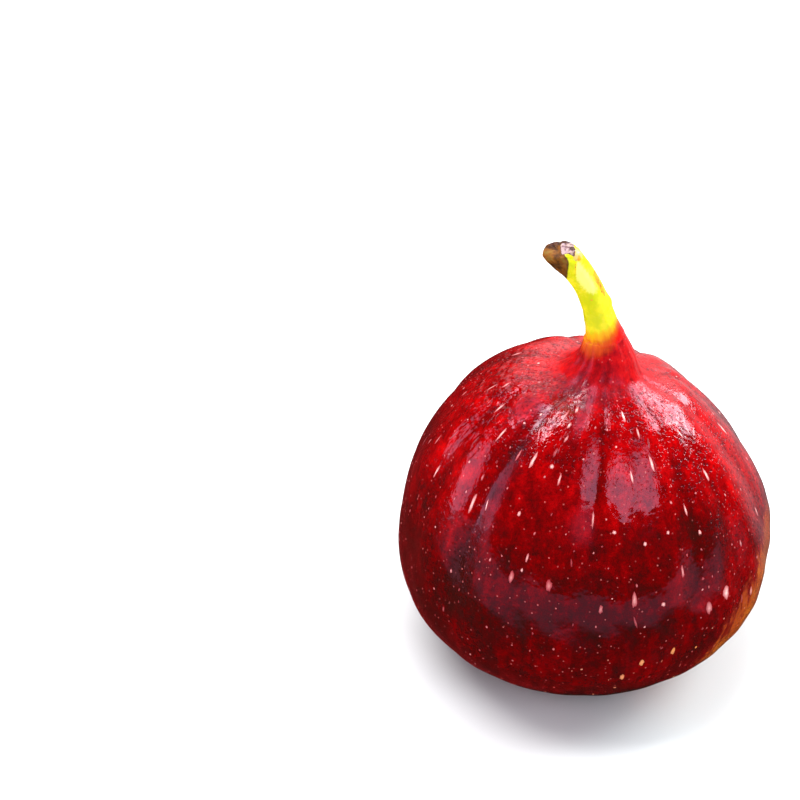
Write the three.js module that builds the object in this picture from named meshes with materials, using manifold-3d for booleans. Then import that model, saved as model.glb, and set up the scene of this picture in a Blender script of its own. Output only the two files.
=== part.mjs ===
// A fresh fig: a squat, heavy-shouldered fruit that stands on its eye, with a fluted neck and a short
// bent stalk. Millimetres, +Z up. The part stands on the plane z = 0, centred over its own footprint.
import * as THREE from "three";
import { mergeVertices } from "three/addons/utils/BufferGeometryUtils.js";
import Module from "manifold-3d";

// Fruit: two superellipse halves that meet at its widest ring.
const BODY_RADIUS = 24.7;
const BODY_DEPTH_SHARE = 0.98; // front-to-back size as a share of the width
const EQUATOR_HEIGHT = 16.6; // the widest ring, above the resting face
const LOWER_REACH = 17.0;
const LOWER_POWER = 2.45;
const UPPER_REACH = 27.9;
const UPPER_POWER = 1.72;

// What keeps the fruit from being round: its lower end lies to one side, one shoulder hangs lower, it
// bulges low down on one side, it is hollow behind the neck and its skin rises to the neck in front.
const LOWER_LEAN = 0.045;
const NECK_SHIFT = 1.4;
const SHOULDER_DROP = 7.9;
const BULGE = { size: 0.75, angle: -28, width: 34, height: -8.5, reach: 7 }; // degrees and mm
const HOLLOW = { size: 1.1, angle: 72, width: 32, radius: 11, reach: 5.5 };
const RISE = { size: 1.05, angle: -88, width: 60, radius: 5.7, reach: 1.9 };

// Neck: from the shoulders the outline runs inwards with little rise, then up a steep cone to the stalk.
// Stations as [radius, height above the widest ring]; the first follows the shoulder at FLARE_RADIUS.
const FLARE_RADIUS = 11;
const NECK = [
  [9.6, 24.3], [8.2, 24.65], [6.9, 24.9], [5.8, 25.2], [4.9, 25.8], [4.1, 26.9], [3.4, 28.3], [2.8, 29.75],
  [2.35, 31.0],
];
const NECK_HEIGHT = 31.0;
const NECK_BEND = 0.026; // how fast the neck curves back towards -X above BEND_START
const BEND_START = 26.0;

// Grooves between the ribs: degrees round the fruit from +X at the widest ring, depth as a share of
// GROOVE_DEPTH, and how many degrees each one drifts in a centimetre of height.
const GROOVES = [
  { angle: -162, depth: 1.0, drift: 1.0 },
  { angle: -137, depth: 1.4, drift: 1.5 },
  { angle: -114, depth: 0.7, drift: 1.0 },
  { angle: -91, depth: 1.1, drift: -0.5 },
  { angle: -77, depth: 0.5, drift: 1.0 },
  { angle: -63, depth: 1.2, drift: 5.0 },
  { angle: -41, depth: 0.9, drift: 1.5 },
  { angle: -16, depth: 0.8, drift: -1.0 },
  { angle: 8, depth: 1.1, drift: 1.5 },
  { angle: 31, depth: 0.7, drift: -2.0 },
  { angle: 52, depth: 1.2, drift: 1.0 },
  { angle: 78, depth: 0.9, drift: -1.5 },
  { angle: 101, depth: 1.2, drift: 2.0 },
  { angle: 127, depth: 0.8, drift: -1.0 },
  { angle: 149, depth: 1.2, drift: 1.5 },
  { angle: 173, depth: 0.7, drift: -1.0 },
];
const GROOVE_DEPTH = 0.46;
const GROOVE_WIDTH = 6.5; // degrees, from the groove's line to where it is about a third as deep
const GROOVE_START = -14; // heights above the widest ring between which the grooves reach full depth
const GROOVE_FULL = 14;
const GROOVE_ROOM = 12; // radius under which the grooves get shallower, towards the stalk
const SWELL = 0.22; // slow hollows and swellings of the skin

// Eye: the pocket under the fruit that its scales close, and the flat that the fruit rests on round it.
const POCKET_HEIGHT = 2.6;
const POCKET_RADIUS = 3.3;
const LIP_RADIUS = 4.9;
const CLEARANCE = 0.3;
const EYE_DISC_RADIUS = 2.5;
const EYE_DISC_LOW = 1.2;

// Scales that close the eye, in two whorls. Each is an ellipsoid with a pointed inner end.
const WHORLS = [
  { count: 7, length: 1.25, width: 0.95, thickness: 0.42, middle: 1.62, height: 0.98, tip: 0.1, turn: 0.1 },
  { count: 5, length: 0.9, width: 0.75, thickness: 0.4, middle: 0.82, height: 1.15, tip: 0.06, turn: 0.5 },
];

// Stalk: stations along its centreline, with z above the widest ring, and its radius at each.
const STALK = [
  { x: 0.78, y: 0.0, z: NECK_HEIGHT + CLEARANCE, radius: 2.3 },
  { x: 0.25, y: 0.0, z: 33.0, radius: 1.98 },
  { x: -0.6, y: 0.05, z: 35.6, radius: 1.72 },
  { x: -1.7, y: 0.1, z: 38.2, radius: 1.64 },
  { x: -3.1, y: 0.15, z: 40.4, radius: 1.72 },
  { x: -4.4, y: 0.15, z: 41.9, radius: 1.88 },
  { x: -5.3, y: 0.1, z: 42.8, radius: 1.74 },
];
const STALK_FLUTES = 0.03; // unevenness round the stalk, as a share of its radius
const SCAR = { along: 0.32, length: 0.045, width: 26, height: 0.26 }; // a bump on its outer side

// The stalk's dried end: a slanted, rounded callus.
const END_SLANT = 0.4; // how far the end leans back, as a rise over its width
const END_START = 0.72; // share of the stalk's length after which the slant comes in
const END_DOME = 0.4;
const END_RINGS = [0.85, 0.6, 0.3]; // the dome's rings, as shares of the stalk's radius

const AROUND = 90; // facets round the fruit
const STALK_AROUND = 24;
const STALK_STEPS = 26;
const DEGREES = Math.PI / 180;

const smooth = (low, high, x) => THREE.MathUtils.smoothstep(x, low, high);

// The angle in degrees from one direction round the part to another, between -180 and 180.
function degreesApart(theta, angle) {
  const apart = theta - angle * DEGREES;
  return Math.atan2(Math.sin(apart), Math.cos(apart)) / DEGREES;
}

// Height above the widest ring at which the upper half has a radius.
function shoulderHeight(radius) {
  return UPPER_REACH * Math.pow(1 - Math.pow(radius / BODY_RADIUS, UPPER_POWER), 1 / UPPER_POWER);
}

// The fruit's outline from the edge of its resting face up to the foot of the neck.
class BodyOutline extends THREE.Curve {
  getPoint(t, target = new THREE.Vector2()) {
    const bottom = -Math.asin(Math.pow(EQUATOR_HEIGHT / LOWER_REACH, LOWER_POWER / 2));
    const top = Math.asin(Math.pow(shoulderHeight(FLARE_RADIUS) / UPPER_REACH, UPPER_POWER / 2));
    const angle = THREE.MathUtils.lerp(bottom, top, t);
    const [reach, power] = angle < 0 ? [LOWER_REACH, LOWER_POWER] : [UPPER_REACH, UPPER_POWER];
    const height = Math.sign(angle) * reach * Math.pow(Math.abs(Math.sin(angle)), 2 / power);
    return target.set(BODY_RADIUS * Math.pow(Math.cos(angle), 2 / power), height);
  }
}

// The line that carries the outline on up to the neck's end.
function neckOutline() {
  const stations = [[FLARE_RADIUS, shoulderHeight(FLARE_RADIUS)], ...NECK];
  return new THREE.SplineCurve(stations.map(([radius, height]) => new THREE.Vector2(radius, height)));
}

// How far the skin lies in at an angle and height, from its grooves, less their mean round the fruit.
function grooveAt(theta, height) {
  let depth = 0;
  let mean = 0;
  for (const groove of GROOVES) {
    const apart = degreesApart(theta, groove.angle + groove.drift * height / 10);
    depth += groove.depth * Math.exp(-Math.pow(apart / GROOVE_WIDTH, 2));
    mean += groove.depth * GROOVE_WIDTH * Math.sqrt(Math.PI) / 360;
  }
  return depth - mean;
}

// The height of a hollow or a rise beside the neck, at a place on the shoulders.
function besideNeck({ size, angle, width, radius, reach }, theta, distance) {
  return size * Math.exp(
    -Math.pow(degreesApart(theta, angle) / width, 2) - Math.pow((distance - radius) / reach, 2),
  );
}

// Moves a point of the plain turned fruit to its place on the lopsided, ribbed one.
function shapeFruit(point) {
  const radius = Math.hypot(point.x, point.y);
  const theta = Math.atan2(point.y, point.x);
  const up = THREE.MathUtils.clamp(point.z / UPPER_REACH, 0, 1);
  const room = smooth(0, GROOVE_ROOM, radius);
  const clearOfRest = smooth(0.3, 4, point.z + EQUATOR_HEIGHT);
  const groove = GROOVE_DEPTH * smooth(GROOVE_START, GROOVE_FULL, point.z) * room * grooveAt(theta, point.z);
  const waves = Math.sin(3 * theta + 0.9 + point.z / 11) + Math.sin(2 * theta - 1.4 - point.z / 7);
  const bulge = BULGE.size * Math.exp(
    -Math.pow(degreesApart(theta, BULGE.angle) / BULGE.width, 2)
    - Math.pow((point.z - BULGE.height) / BULGE.reach, 2),
  );
  const shaped = radius - groove + clearOfRest * room * (SWELL * waves + bulge);
  const bent = Math.max(point.z - BEND_START, 0);
  const lean = LOWER_LEAN * Math.min(point.z, 0) + NECK_SHIFT * Math.pow(up, 4) - NECK_BEND * bent * bent;
  const drop = SHOULDER_DROP * up * up * Math.pow(radius / BODY_RADIUS, 2) * Math.cos(theta);
  const beside = up * up * (besideNeck(RISE, theta, radius) - besideNeck(HOLLOW, theta, radius));
  const tilt = 2 * NECK_BEND * bent * radius * Math.cos(theta);
  return new THREE.Vector3(
    shaped * Math.cos(theta) + lean,
    BODY_DEPTH_SHARE * shaped * Math.sin(theta),
    point.z - drop + beside + tilt,
  );
}

// Turns a profile of (radius, height) points about Z.
function turned(profile, segments) {
  return new THREE.LatheGeometry(profile, segments).rotateX(Math.PI / 2);
}

// Applies a function from point to point to every vertex.
function reshape(geometry, shape) {
  const position = geometry.getAttribute("position");
  const point = new THREE.Vector3();
  for (let i = 0; i < position.count; i++) {
    const moved = shape(point.fromBufferAttribute(position, i));
    position.setXYZ(i, moved.x, moved.y, moved.z);
  }
  return geometry;
}

function fruitGeometry() {
  const ground = -EQUATOR_HEIGHT;
  const skin = new BodyOutline().getSpacedPoints(28);
  const restEdge = skin[0].x;
  const profile = [
    new THREE.Vector2(0, ground + POCKET_HEIGHT),
    new THREE.Vector2(POCKET_RADIUS - 0.4, ground + POCKET_HEIGHT),
    new THREE.Vector2(POCKET_RADIUS, ground + 1.3),
    new THREE.Vector2(POCKET_RADIUS + 0.3, ground + 0.6),
    new THREE.Vector2(POCKET_RADIUS + 0.85, ground + 0.15),
    new THREE.Vector2(LIP_RADIUS, ground),
    new THREE.Vector2((LIP_RADIUS + restEdge) / 2, ground),
    ...skin,
    ...neckOutline().getSpacedPoints(13).slice(1),
    new THREE.Vector2(0, NECK_HEIGHT),
  ];
  return reshape(turned(profile, AROUND), shapeFruit);
}

// The stalk's radius at a share of its length, eased between its stations.
function stalkRadius(share) {
  const place = share * (STALK.length - 1);
  const i = Math.min(Math.floor(place), STALK.length - 2);
  return THREE.MathUtils.lerp(STALK[i].radius, STALK[i + 1].radius, smooth(0, 1, place - i));
}

function stalkGeometry() {
  const profile = [new THREE.Vector2(0, 0)];
  for (let i = 0; i <= STALK_STEPS; i++) {
    profile.push(new THREE.Vector2(stalkRadius(i / STALK_STEPS), i / STALK_STEPS));
  }
  profile.push(...END_RINGS.map((ring) => new THREE.Vector2(stalkRadius(1) * ring, 1)));
  profile.push(new THREE.Vector2(0, 1));

  // The profile's height is the share of the way along the centreline.
  const line = new THREE.CatmullRomCurve3(STALK.map(({ x, y, z }) => new THREE.Vector3(x, y, z)));
  const across = new THREE.Vector3(0, 1, 0);
  return reshape(turned(profile, STALK_AROUND), (point) => {
    const share = THREE.MathUtils.clamp(point.z, 0, 1);
    const theta = Math.atan2(point.y, point.x);
    const radius = Math.hypot(point.x, point.y);
    const outward = radius / stalkRadius(share); // 0 on the centreline, 1 on the skin
    const tangent = line.getTangent(share);
    const outer = new THREE.Vector3().crossVectors(across, tangent).normalize();
    const side = new THREE.Vector3().crossVectors(tangent, outer);
    const scar = SCAR.height * Math.exp(
      -Math.pow((share - SCAR.along) / SCAR.length, 2) - Math.pow(degreesApart(theta, 0) / SCAR.width, 2),
    );
    const flutes = 1 + STALK_FLUTES * Math.sin(5 * theta + 4 * share) * smooth(0, 0.1, share);
    const shaped = radius * flutes + outward * scar;
    const slant = END_SLANT * smooth(END_START, 1, share) * shaped * Math.cos(theta);
    const dome = share === 1 ? END_DOME * Math.sqrt(Math.max(1 - outward * outward, 0)) : 0;
    return line.getPoint(share)
      .addScaledVector(outer, shaped * Math.cos(theta))
      .addScaledVector(side, shaped * Math.sin(theta))
      .addScaledVector(tangent, dome - slant);
  });
}

// manifold-3d joins the scales of the eye into one solid.
const wasm = await Module();
wasm.setup();

function toSolid(geometry) {
  const bare = geometry.clone();
  bare.deleteAttribute("normal");
  bare.deleteAttribute("uv");
  const merged = mergeVertices(bare, 1e-4);
  return new wasm.Manifold(new wasm.Mesh({
    numProp: 3,
    vertProperties: merged.getAttribute("position").array,
    triVerts: new Uint32Array(merged.index.array),
  }));
}

function toGeometry(solid) {
  const mesh = solid.getMesh();
  const geometry = new THREE.BufferGeometry();
  geometry.setAttribute("position", new THREE.BufferAttribute(mesh.vertProperties, 3));
  geometry.setIndex(new THREE.BufferAttribute(mesh.triVerts, 1));
  geometry.computeVertexNormals();
  return geometry;
}

// A small scale with its pointed end towards -X.
function scaleGeometry({ length, width, thickness }) {
  return reshape(new THREE.SphereGeometry(1, 12, 8), (point) => {
    const towardsTip = Math.max(-point.x, 0);
    return new THREE.Vector3(
      point.x * length,
      point.y * width * (1 - 0.6 * towardsTip * towardsTip),
      point.z * thickness * (1 - 0.4 * towardsTip),
    );
  });
}

function eyeGeometry() {
  const disc = turned(
    [
      new THREE.Vector2(0, EYE_DISC_LOW),
      new THREE.Vector2(EYE_DISC_RADIUS - 0.3, EYE_DISC_LOW),
      new THREE.Vector2(EYE_DISC_RADIUS, EYE_DISC_LOW + 0.3),
      new THREE.Vector2(EYE_DISC_RADIUS, POCKET_HEIGHT - CLEARANCE),
      new THREE.Vector2(0, POCKET_HEIGHT - CLEARANCE),
    ],
    28,
  );
  let eye = toSolid(disc);
  for (const whorl of WHORLS) {
    for (let i = 0; i < whorl.count; i++) {
      const scale = scaleGeometry(whorl)
        .rotateY(whorl.tip)
        .translate(whorl.middle, 0, whorl.height)
        .rotateZ((i / whorl.count) * 2 * Math.PI + whorl.turn);
      eye = eye.add(toSolid(scale));
    }
  }
  return toGeometry(eye).translate(LOWER_LEAN * -EQUATOR_HEIGHT, 0, 0);
}

// Assembly: one mesh a node, over the plane that the fruit rests on.
const fig = new THREE.Group();
function addNode(name, geometry, height, { color, roughness }) {
  const node = new THREE.Mesh(geometry, new THREE.MeshStandardMaterial({ color, roughness, metalness: 0 }));
  node.name = name;
  node.position.z = height;
  fig.add(node);
}
addNode("fruit", fruitGeometry(), EQUATOR_HEIGHT, { color: 0x8c0f18, roughness: 0.32 });
addNode("stalk", stalkGeometry(), EQUATOR_HEIGHT, { color: 0xcfc61f, roughness: 0.5 });
addNode("eye_scales", eyeGeometry(), 0, { color: 0x8a3a34, roughness: 0.6 });

// The origin is under the middle of the part's own width and depth.
fig.updateMatrixWorld(true);
const middle = new THREE.Box3().setFromObject(fig, true).getCenter(new THREE.Vector3());
fig.position.set(-middle.x, -middle.y, 0);

export default fig;
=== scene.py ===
"""Looks of the fresh fig: its skin, stalk and eye, on a pale floor in soft studio light.

The formulas of the fruit and the stalk are those of the CAD source, in millimetres, with z measured
from the fruit's widest ring. The Blender pieces carry finer relief on the same shape, which is not in
the CAD source: fold lines, dents, lumps, pleats, fills in some grooves, and a ragged end to the stalk.
"""
import math

import bpy
import numpy as np
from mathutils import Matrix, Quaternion, Vector


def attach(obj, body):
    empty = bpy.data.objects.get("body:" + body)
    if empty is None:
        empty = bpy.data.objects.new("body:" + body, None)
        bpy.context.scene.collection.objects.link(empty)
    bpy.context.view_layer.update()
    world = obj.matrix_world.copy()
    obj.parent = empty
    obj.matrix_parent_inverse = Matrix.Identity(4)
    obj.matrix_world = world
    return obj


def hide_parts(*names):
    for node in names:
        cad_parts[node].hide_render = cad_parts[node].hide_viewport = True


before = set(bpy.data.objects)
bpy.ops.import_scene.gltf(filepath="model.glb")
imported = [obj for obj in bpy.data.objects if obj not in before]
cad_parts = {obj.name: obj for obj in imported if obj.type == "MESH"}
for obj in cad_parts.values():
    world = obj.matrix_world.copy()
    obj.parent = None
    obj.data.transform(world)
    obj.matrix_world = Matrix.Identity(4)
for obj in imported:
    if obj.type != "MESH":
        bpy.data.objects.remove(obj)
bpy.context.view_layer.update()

MM = 0.001

# ---------------------------------------- the fruit's shape, as in the CAD source
BODY_RADIUS = 24.7
BODY_DEPTH_SHARE = 0.98
EQUATOR_HEIGHT = 16.6
LOWER_REACH, LOWER_POWER = 17.0, 2.45
UPPER_REACH, UPPER_POWER = 27.9, 1.72
LOWER_LEAN = 0.045
NECK_SHIFT = 1.4
SHOULDER_DROP = 7.9
BULGE = dict(size=0.75, angle=-28, width=34, height=-8.5, reach=7)
HOLLOW = dict(size=1.1, angle=72, width=32, radius=11, reach=5.5)
RISE = dict(size=1.05, angle=-88, width=60, radius=5.7, reach=1.9)
FLARE_RADIUS = 11
NECK = [(9.6, 24.3), (8.2, 24.65), (6.9, 24.9), (5.8, 25.2), (4.9, 25.8), (4.1, 26.9), (3.4, 28.3),
        (2.8, 29.75), (2.35, 31.0)]
NECK_HEIGHT, NECK_BEND, BEND_START = 31.0, 0.026, 26.0
GROOVES = [  # degrees round the fruit from +X, depth as a share of GROOVE_DEPTH, drift in a centimetre
    (-162, 1.0, 1.0), (-137, 1.4, 1.5), (-114, 0.7, 1.0), (-91, 1.1, -0.5), (-77, 0.5, 1.0), (-63, 1.2, 5.0),
    (-41, 0.9, 1.5), (-16, 0.8, -1.0), (8, 1.1, 1.5), (31, 0.7, -2.0), (52, 1.2, 1.0), (78, 0.9, -1.5),
    (101, 1.2, 2.0), (127, 0.8, -1.0), (149, 1.2, 1.5), (173, 0.7, -1.0),
]
GROOVE_DEPTH, GROOVE_WIDTH = 0.46, 6.5
GROOVE_START, GROOVE_FULL, GROOVE_ROOM = -14, 14, 12
SWELL = 0.22
POCKET_HEIGHT, POCKET_RADIUS, LIP_RADIUS = 2.6, 3.3, 4.9
CLEARANCE = 0.3

# ---------------------------------------- the stalk's shape, as in the CAD source
STALK_X = [0.78, 0.25, -0.6, -1.7, -3.1, -4.4, -5.3]
STALK_Y = [0.0, 0.0, 0.05, 0.1, 0.15, 0.15, 0.1]
STALK_Z = [NECK_HEIGHT + CLEARANCE, 33.0, 35.6, 38.2, 40.4, 41.9, 42.8]
STALK_RADIUS = [2.3, 1.98, 1.72, 1.64, 1.72, 1.88, 1.74]
SCAR = dict(along=0.32, length=0.045, width=26, height=0.26)
END_SLANT, END_START, END_DOME = 0.4, 0.72, 0.4
STALK_LENGTH = 13.5  # along its centreline, about
STALK_ROWS, STALK_AROUND, DOME_ROWS = 150, 96, 11
STALK_SUNK = 0.06  # how far the dressed stalk runs down inside the neck, as a share of its length
LOBE = 1.1  # the thick lobe of its dried end; about half of it shows
RAGGED = dict(size=0.30, angle=75, width=45, teeth=9)
TAN_PATCH, TEAR_SCUFF, SPECK = (-3.2, -0.7, 43.0), (-3.0, -1.0, 42.5), (-1.2, -1.6, 37.0)

# ---------------------------------------- the skin's finer forms, in mm
AROUND = 360  # faces round the dressed fruit
ROW_STEP = 0.31  # between its rows
FOLD_DEPTH, FOLD_WIDTH = 0.15, 0.4
DENT_SIZE, LUMP_SIZE, PLEAT_SIZE = 0.07, 0.07, 0.006

# Soft patches on the fruit: the angle and width in degrees, the height and reach in mm, and a strength.
# The fills make the right side of a groove shallower. The last one is a shallow pit.
FILLS = [
    (-90.5, 3.6, 19, 6, 0.24), (-131, 4.5, 16.5, 6.5, 0.34), (-37.5, 7, 22.5, 4, 0.34),
    (-51, 6, 23.5, 3.5, 0.34), (-120, 7, 23, 4, 0.3), (-22, 7, 9.5, 3.2, -0.22),
]
UNFOLDED = [(-42, 12, 22.5, 3.5, 1)]
SHRIVELLED = [(-136, 5, 6.8, 2.2, 1), (-44, 3, 13.3, 1.8, 0.7)]
DULL = [(-132, 3.6, 15.5, 5.5, 0.5), (-98, 4, 15.2, 1.5, 1), (-146, 8, 23.5, 1.1, 1)]
GLEAM = [(-40, 24, 22.5, 3.5, 0.5)]
PEBBLY = [(-35, 25, 22.5, 4, 0.6)]
TIGHT = [(-85, 38, 14, 10, 0.45)]

# How dark the red is, from 0 to 1: where it starts, what heights add (from, to, strength), what heights
# on one side add (angle, width, from, to, strength), and what soft patches add.
WINE_START = 0.19
WINE_HEIGHTS = [(28, 8, 0.74), (8, -9, -0.25), (7, 0, 0.05), (-3, -11, 0.06)]
WINE_SIDES = [(-145, 60, 15, 21, 0.15), (-15, 40, 14, 19, 0.04), (-155, 22, 10, 3, 0.14)]
WINE_PATCHES = [
    (-93, 13, 12, 4.5, -0.24), (-140, 38, 8, 12, -0.12), (-160, 35, 12, 8, -0.24),
    (-8, 36, 13, 9, -0.26), (-85, 38, 2, 5, -0.07), (-35, 38, 6, 9, -0.26),
]

# The amber patch, low on the right: less ripe skin, which along the fruit's right edge is also a painted
# orange rim light. Where its left edge lies at the widest ring, how many degrees further round that is for
# each mm up, where the patch ends on the right and above, and how softly it fades at each of these edges
# and, by the radius, towards the eye.
AMBER = dict(left=-53, slope=2.0, right=28, top=12)
AMBER_FADE = dict(left=(-6, 32), right=(0, -40), top=(0, -12), eye=(9, 19))


def smooth(low, high, x):
    t = np.clip((x - low) / (high - low), 0, 1)
    return t * t * (3 - 2 * t)


def bell(x, middle, width):
    return np.exp(-((x - middle) / width) ** 2)


def degrees_apart(theta, angle):
    """The angle in degrees from one direction round the part to another, between -180 and 180."""
    apart = theta - np.radians(angle)
    return np.degrees(np.arctan2(np.sin(apart), np.cos(apart)))


def facing(theta, angle, width):
    """1 where the skin faces that way, falling to 0 over about width degrees."""
    return bell(degrees_apart(theta, angle), 0, width)


def patches(theta, height, table):
    """The sum of the table's soft patches."""
    return sum(strength * facing(theta, angle, width) * bell(height, middle, reach)
               for angle, width, middle, reach, strength in table)


def shoulder_height(radius):
    return UPPER_REACH * (1 - (radius / BODY_RADIUS) ** UPPER_POWER) ** (1 / UPPER_POWER)


def body_outline(count):
    """(radius, height) from the edge of the resting face up to the neck's foot."""
    bottom = -math.asin((EQUATOR_HEIGHT / LOWER_REACH) ** (LOWER_POWER / 2))
    top = math.asin((shoulder_height(FLARE_RADIUS) / UPPER_REACH) ** (UPPER_POWER / 2))
    angle = np.linspace(bottom, top, count)
    reach = np.where(angle < 0, LOWER_REACH, UPPER_REACH)
    power = np.where(angle < 0, LOWER_POWER, UPPER_POWER)
    height = np.sign(angle) * reach * np.abs(np.sin(angle)) ** (2 / power)
    return np.stack([BODY_RADIUS * np.cos(angle) ** (2 / power), height], 1)


def neck_outline(count):
    """(radius, height) from the shoulder up to the neck's end: a Catmull-Rom line through the stations."""
    stations = np.array([(FLARE_RADIUS, shoulder_height(FLARE_RADIUS)), *NECK])
    ends = np.concatenate([stations[:1], stations, stations[-1:]])
    place = np.linspace(0, len(stations) - 1, count)
    i = np.minimum(place.astype(int), len(stations) - 2)
    t = (place - i)[:, None]
    before, start, end, after = ends[i], ends[i + 1], ends[i + 2], ends[i + 3]
    leave, arrive = (end - before) / 2, (after - start) / 2
    return (start + leave * t + (3 * (end - start) - 2 * leave - arrive) * t ** 2
            + (2 * (start - end) + leave + arrive) * t ** 3)


def spaced(points, step):
    """The same line with its points an equal distance apart."""
    along = np.concatenate([[0], np.cumsum(np.linalg.norm(np.diff(points, axis=0), axis=1))])
    at = np.linspace(0, along[-1], max(2, int(round(along[-1] / step)) + 1))
    return np.stack([np.interp(at, along, column) for column in points.T], 1)


SKIN_LINE = np.concatenate([body_outline(4000), neck_outline(400)[1:]])
SKIN_ALONG = np.concatenate([[0], np.cumsum(np.linalg.norm(np.diff(SKIN_LINE, axis=0), axis=1))])


def skin_line(along):
    """(radius, height) at a distance along the outline from the edge of the resting face."""
    return np.interp(along, SKIN_ALONG, SKIN_LINE[:, 0]), np.interp(along, SKIN_ALONG, SKIN_LINE[:, 1])


def groove_at(theta, height):
    """How far the skin lies in, from its grooves, less their mean round the fruit."""
    depth = sum(share * facing(theta, angle + drift * height / 10, GROOVE_WIDTH)
                for angle, share, drift in GROOVES)
    return depth - sum(share for _, share, _ in GROOVES) * GROOVE_WIDTH * math.sqrt(math.pi) / 360


def crease_at(theta, radius, height):
    """How far into a sharp fold line a point lies, from 0 to about 0.8. The lines wander a little."""
    inside = np.zeros(np.broadcast(theta, radius).shape)
    for i, (angle, share, drift) in enumerate(GROOVES):
        wander = drift * height / 10 + 1.2 * np.sin(height / 4.1 + 2.3 * i) + 0.5 * np.sin(height / 1.9 + i)
        apart = np.radians(degrees_apart(theta, angle + wander)) * radius
        depth = max(share - 0.6, 0.1)
        inside += depth * np.exp(-np.abs(apart) / FOLD_WIDTH) * smooth(0, GROOVE_FULL, height)
    return inside * smooth(3.5, 10, radius) * (1 - patches(theta, height, UNFOLDED))


def relief(theta, radius, height):
    """The skin's finer forms, in mm outwards: fold lines, dents, lumps low down, pleats near the neck, and
    fills."""
    clear = smooth(-EQUATOR_HEIGHT + 0.3, -EQUATOR_HEIGHT + 4, height)
    dents = (np.sin(7 * theta + height / 3.4 + 0.6) * np.sin(height / 5.2 - 2 * theta)
             + 0.7 * np.sin(11 * theta - height / 4.3 + 2.0) * np.sin(height / 3.1 + 3 * theta + 1))
    lumps = np.sin(19 * theta + height / 2) * np.sin(height / 1.6 + 5 * theta) * smooth(12, 4, height)
    pleats = np.sin(34 * theta + 2.2 * np.sin(5 * theta + height / 3))
    near_neck = smooth(11, 5, radius) * smooth(NECK_HEIGHT - 0.5, NECK_HEIGHT - 3.5, height)
    return ((DENT_SIZE * dents + LUMP_SIZE * lumps) * clear - FOLD_DEPTH * crease_at(theta, radius, height)
            + PLEAT_SIZE * pleats * near_neck + patches(theta, height, FILLS))


def shape_fruit(theta, radius, height, finer=0.0):
    """The place of a point of the plain turned fruit on the lopsided, ribbed one."""
    up = np.clip(height / UPPER_REACH, 0, 1)
    room = smooth(0, GROOVE_ROOM, radius)
    clear = smooth(-EQUATOR_HEIGHT + 0.3, -EQUATOR_HEIGHT + 4, height)
    groove = GROOVE_DEPTH * smooth(GROOVE_START, GROOVE_FULL, height) * room * groove_at(theta, height)
    waves = np.sin(3 * theta + 0.9 + height / 11) + np.sin(2 * theta - 1.4 - height / 7)
    bulge = (BULGE["size"] * facing(theta, BULGE["angle"], BULGE["width"])
             * bell(height, BULGE["height"], BULGE["reach"]))
    shaped = radius - groove + clear * room * (SWELL * waves + bulge) + finer
    bent = np.maximum(height - BEND_START, 0)
    lean = LOWER_LEAN * np.minimum(height, 0) + NECK_SHIFT * up ** 4 - NECK_BEND * bent ** 2
    drop = SHOULDER_DROP * up ** 2 * (radius / BODY_RADIUS) ** 2 * np.cos(theta)
    hollow, rise = (form["size"] * up ** 2 * facing(theta, form["angle"], form["width"])
                    * bell(radius, form["radius"], form["reach"]) for form in (HOLLOW, RISE))
    tilt = 2 * NECK_BEND * bent * radius * np.cos(theta)
    return np.stack([shaped * np.cos(theta) + lean, BODY_DEPTH_SHARE * shaped * np.sin(theta),
                     height - drop - hollow + rise + tilt], -1)


def middle_of_plain_fruit():
    """The middle of the fruit's box without its finer forms, which is the middle of the part."""
    theta, along = np.meshgrid(np.linspace(-math.pi, math.pi, 361), np.linspace(0, SKIN_ALONG[-1], 400))
    points = shape_fruit(theta, *skin_line(along)).reshape(-1, 3)
    return (points.min(0) + points.max(0)) / 2


MIDDLE = middle_of_plain_fruit()


def placed(points):
    """From a point in mm, measured from the widest ring, to the part's frame in metres."""
    return (points - np.array([MIDDLE[0], MIDDLE[1], -EQUATOR_HEIGHT])) * MM


def skin_point(theta, along):
    radius, height = skin_line(along)
    return shape_fruit(theta, radius, height, relief(theta, radius, height))


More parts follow.
